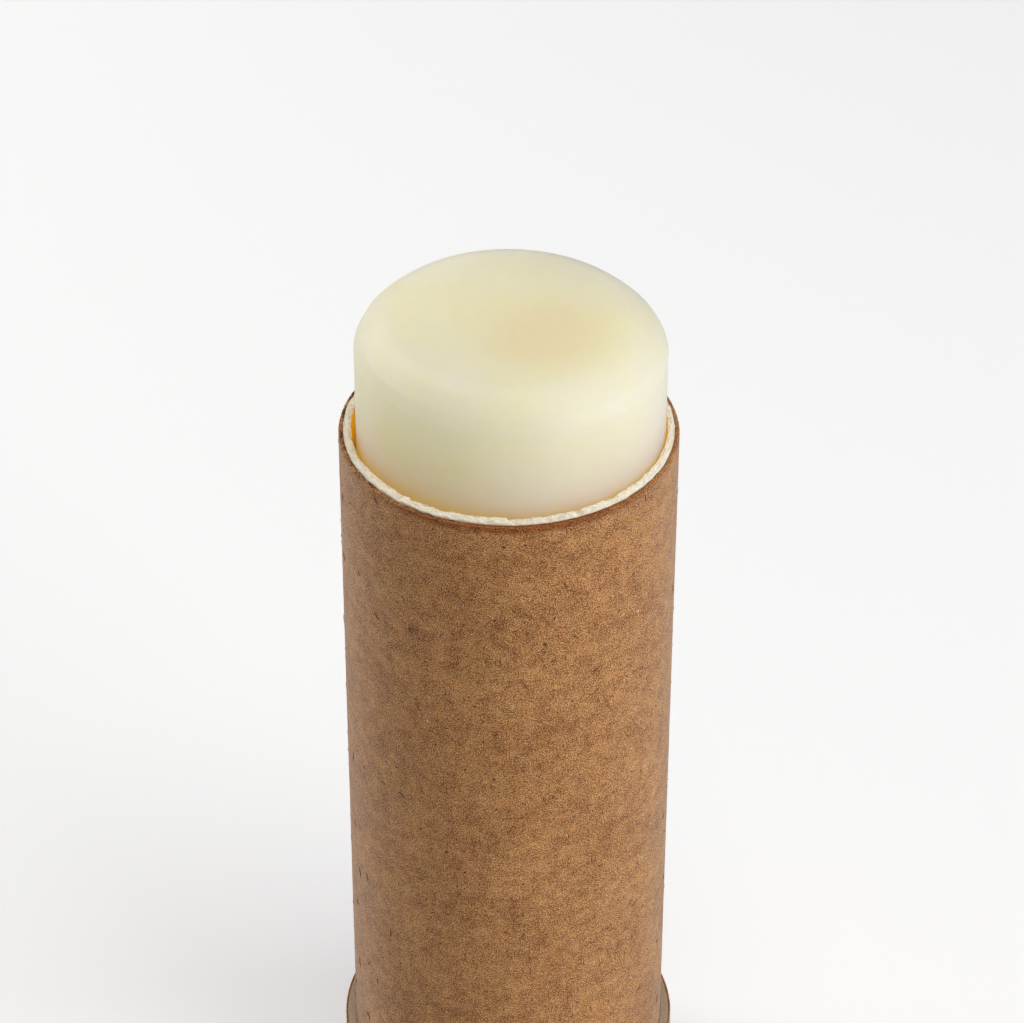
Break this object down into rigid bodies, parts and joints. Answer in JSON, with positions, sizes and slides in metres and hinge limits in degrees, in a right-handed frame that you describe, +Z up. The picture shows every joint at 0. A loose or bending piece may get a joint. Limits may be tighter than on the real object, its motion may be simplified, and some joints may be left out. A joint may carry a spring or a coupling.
{
  "type": "hand balm stick",
  "caption": "Slim push-up paper tube with a raised stick of pale balm, a base collar for the cap, and a sliding base that a thumb pushes up from below.",
  "frame": {"origin": "middle of the tube's foot, on the surface that it stands on", "axes": "+Z up the tube towards the balm, +X to the right and +Y away in the picture"},
  "size_m": [0.0342, 0.0342, 0.0995],
  "materials": {
    "kraft": "matte",
    "white_board": "matte",
    "greaseproof": "satin",
    "grey_board": "matte",
    "balm": "satin"
  },
  "bodies": {
    "tube": {"kraft_wrap": "kraft", "board_core": "white_board", "greaseproof_liner": "greaseproof", "base_collar": "grey_board", "collar_wrap": "kraft"},
    "push_up": {"push_ring": "grey_board", "push_disc": "kraft", "balm": "balm"}
  },
  "joints": [
    {"name": "balm_push", "type": "slide", "parent": "tube", "child": "push_up", "axis": [0, 0, 1], "range_m": [-0.0143, 0.0612]}
  ]
}
